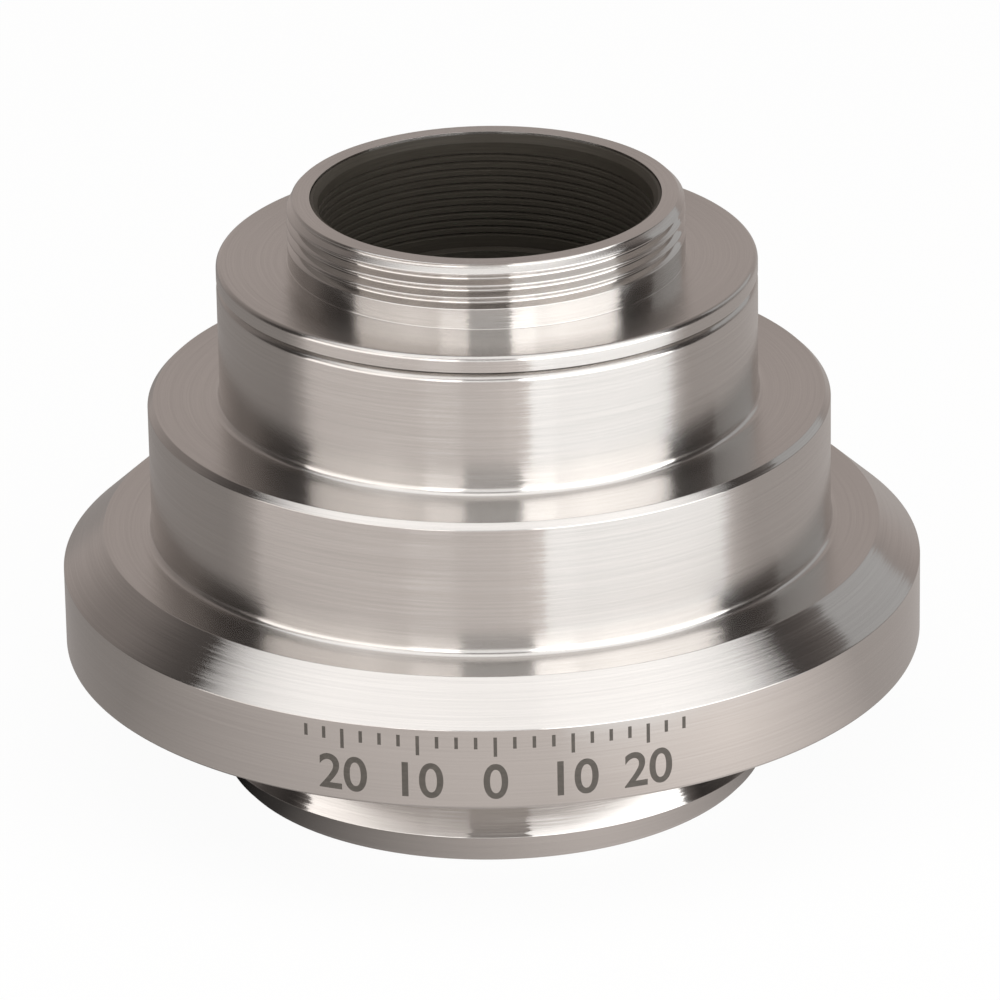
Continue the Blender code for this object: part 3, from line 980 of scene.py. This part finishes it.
        # Painted shadow: the floor's glow darkens close round the foot, where the object's shadow
        # would fall.
        painted_shade_level = self.ramped(tree, from_painted_shade, 0, 25, 0.27, -0.38)
        close = self.ramped(tree, from_axis, 24, 32, 1.0, 0.0)
        forward = self.ramped(tree, split["Y"], 6, 18, 1.0, 0.35)
        painted_shade_mask = number(tree, 'MULTIPLY', close, forward)
        return number(tree, 'ADD', painted_floor_light, number(tree, 'MULTIPLY', painted_shade_level, painted_shade_mask))

    def ramped(self, tree, source, start, end, low, high):
        """A level that goes from low to high as a length goes from start to end, in
        millimetres."""
        return spread(tree, source, low, high, start * MM, end * MM)

    def distance(self, tree, place, x, y):
        """How far a place on the floor is from a point of it, given in millimetres."""
        return vector(tree, 'DISTANCE', place, (x * MM, y * MM, 0.0), result="Value")

    def surroundings(self, context, finish):
        """White to the camera and through glass. In the metal it is a room that is
        pale behind the object and dark at its sides."""
        world = bpy.data.worlds.new("studio_surroundings")
        context.scene.world = world
        world.use_nodes = True
        tree = world.node_tree
        tree.nodes.clear()
        output = add_node(tree, "ShaderNodeOutputWorld")
        ray = add_node(tree, "ShaderNodeLightPath")
        direct = number(tree, 'MAXIMUM', ray.outputs["Is Camera Ray"],
                        ray.outputs["Is Transmission Ray"])
        heading = add_node(tree, "ShaderNodeTexCoord")
        back = add_node(tree, "ShaderNodeSeparateXYZ", None, {0: heading.outputs["Generated"]})
        reach = spread(tree, back.outputs["Y"], 0.0, 1.0, -1.0, 1.0)
        ramp = add_node(tree, "ShaderNodeValToRGB", None, {"Fac": reach})
        ramp.color_ramp.interpolation = 'EASE'
        # From in front of the object, 0, to behind it, 1
        levels = {0.0: 0.17, 0.42: 0.17, 0.5: 0.04, 0.6: 0.07, 0.78: 0.27, 1.0: 0.50}
        while len(ramp.color_ramp.elements) < len(levels):
            ramp.color_ramp.elements.new(0.5)
        tint = finish.room
        for element, (position, level) in zip(ramp.color_ramp.elements, levels.items()):
            element.position = position
            element.color = (level * tint[0], level * tint[1], level * tint[2], 1.0)
        room = add_node(tree, "ShaderNodeBackground", None, {"Color": ramp.outputs["Color"]})
        white = add_node(tree, "ShaderNodeBackground", {"Color": (1, 1, 1, 1)})
        chosen = add_node(tree, "ShaderNodeMixShader", None,
                          {0: direct, 1: room.outputs[0], 2: white.outputs[0]})
        tree.links.new(chosen.outputs[0], output.inputs["Surface"])

    def card(self, name, level, corners, tint=(1.0, 1.0, 1.0)):
        """A pale card, on the floor unless its corners have heights. Only the metal
        sees it. It is no lamp and nothing lights it: it glows at a brightness set for
        it, painted light that stands in for what the softboxes would give it."""
        on_floor = 0.2 * MM
        select_only(None)
        bpy.ops.mesh.primitive_circle_add(vertices=len(corners), radius=MM, fill_type='NGON')
        card = bpy.context.object
        card.name = name
        for vert, corner in zip(card.data.vertices, corners):
            vert.co = corner if len(corner) == 3 else (*corner, on_floor)
        material, tree, output = new_material(name + "_paper")
        # Painted light: the card glows by itself at its set brightness.
        paper = add_node(tree, "ShaderNodeEmission", {"Color": (*tint, 1.0), "Strength": level})
        tree.links.new(paper.outputs[0], output.inputs["Surface"])
        material.cycles.emission_sampling = 'NONE'
        card.data.materials.append(material)
        card.visible_camera = False
        card.visible_diffuse = False
        card.visible_transmission = False
        card.visible_shadow = False

    def softbox(self, name, level, place, width, height, tint=(1.0, 1.0, 1.0), overhead=False):
        """A softbox that faces the object, or straight down if it is overhead."""
        select_only(None)
        bpy.ops.object.light_add(type='AREA', location=place)
        lamp = bpy.context.object
        lamp.name = name
        lamp.data.shape = 'RECTANGLE'
        lamp.data.size = width
        lamp.data.size_y = height
        lamp.data.energy = level * math.pi * width * height
        lamp.data.color = tint
        lamp.visible_camera = False
        if not overhead:
            heading = math.atan2(place[1], place[0])
            lamp.rotation_euler = (math.radians(90), 0, heading + math.radians(90))

    def camera(self, context, studio):
        """A long lens in front of the object, looking down on it."""
        select_only(None)
        bpy.ops.object.camera_add(location=(0, -studio.camera_back, studio.camera_height))
        camera = bpy.context.object
        turn = Matrix.Rotation(-studio.camera_yaw, 3, 'Z')
        tilt = Matrix.Rotation(math.radians(90) - studio.camera_pitch, 3, 'X')
        roll = Matrix.Rotation(studio.camera_roll, 3, 'Z')
        camera.rotation_euler = (turn @ tilt @ roll).to_euler()
        camera.data.lens = studio.camera_lens
        camera.data.sensor_width = 36.0
        camera.data.clip_start = 0.01
        context.scene.camera = camera


class ADAPTER_PT_panel(Panel):
    """Lists the adapter's operators and settings."""

    bl_label = "Camera Adapter"
    bl_space_type = 'VIEW_3D'
    bl_region_type = 'UI'
    bl_category = "Adapter"

    def draw(self, context):
        layout = self.layout
        scene = context.scene
        for operator in OPERATORS:
            layout.operator(operator.bl_idname)
        for group in (scene.adapter_sizes, scene.adapter_finish, scene.adapter_studio):
            box = layout.box()
            for name in group.__annotations__:
                box.prop(group, name)


GROUPS = (AdapterSizes, AdapterFinish, AdapterStudio)
OPERATORS = (
    ADAPTER_OT_stepped_body,
    ADAPTER_OT_camera_nose,
    ADAPTER_OT_lens_barrel,
    ADAPTER_OT_slotted_rings,
    ADAPTER_OT_spacers,
    ADAPTER_OT_lenses,
    ADAPTER_OT_index_scale,
    ADAPTER_OT_studio,
)


def register():
    """Register the classes and the scene's settings."""
    for group in GROUPS + OPERATORS + (ADAPTER_PT_panel,):
        bpy.utils.register_class(group)
    bpy.types.Scene.adapter_sizes = PointerProperty(type=AdapterSizes)
    bpy.types.Scene.adapter_finish = PointerProperty(type=AdapterFinish)
    bpy.types.Scene.adapter_studio = PointerProperty(type=AdapterStudio)


def unregister():
    """Remove the settings and the classes."""
    del bpy.types.Scene.adapter_studio
    del bpy.types.Scene.adapter_finish
    del bpy.types.Scene.adapter_sizes
    for group in reversed(GROUPS + OPERATORS + (ADAPTER_PT_panel,)):
        bpy.utils.unregister_class(group)


def main():
    """Register everything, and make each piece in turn."""
    register()
    bpy.ops.adapter.stepped_body()
    bpy.ops.adapter.camera_nose()
    bpy.ops.adapter.lens_barrel()
    bpy.ops.adapter.slotted_rings()
    bpy.ops.adapter.spacers()
    bpy.ops.adapter.lenses()
    bpy.ops.adapter.index_scale()
    bpy.ops.adapter.studio()


if __name__ == "__main__":
    main()
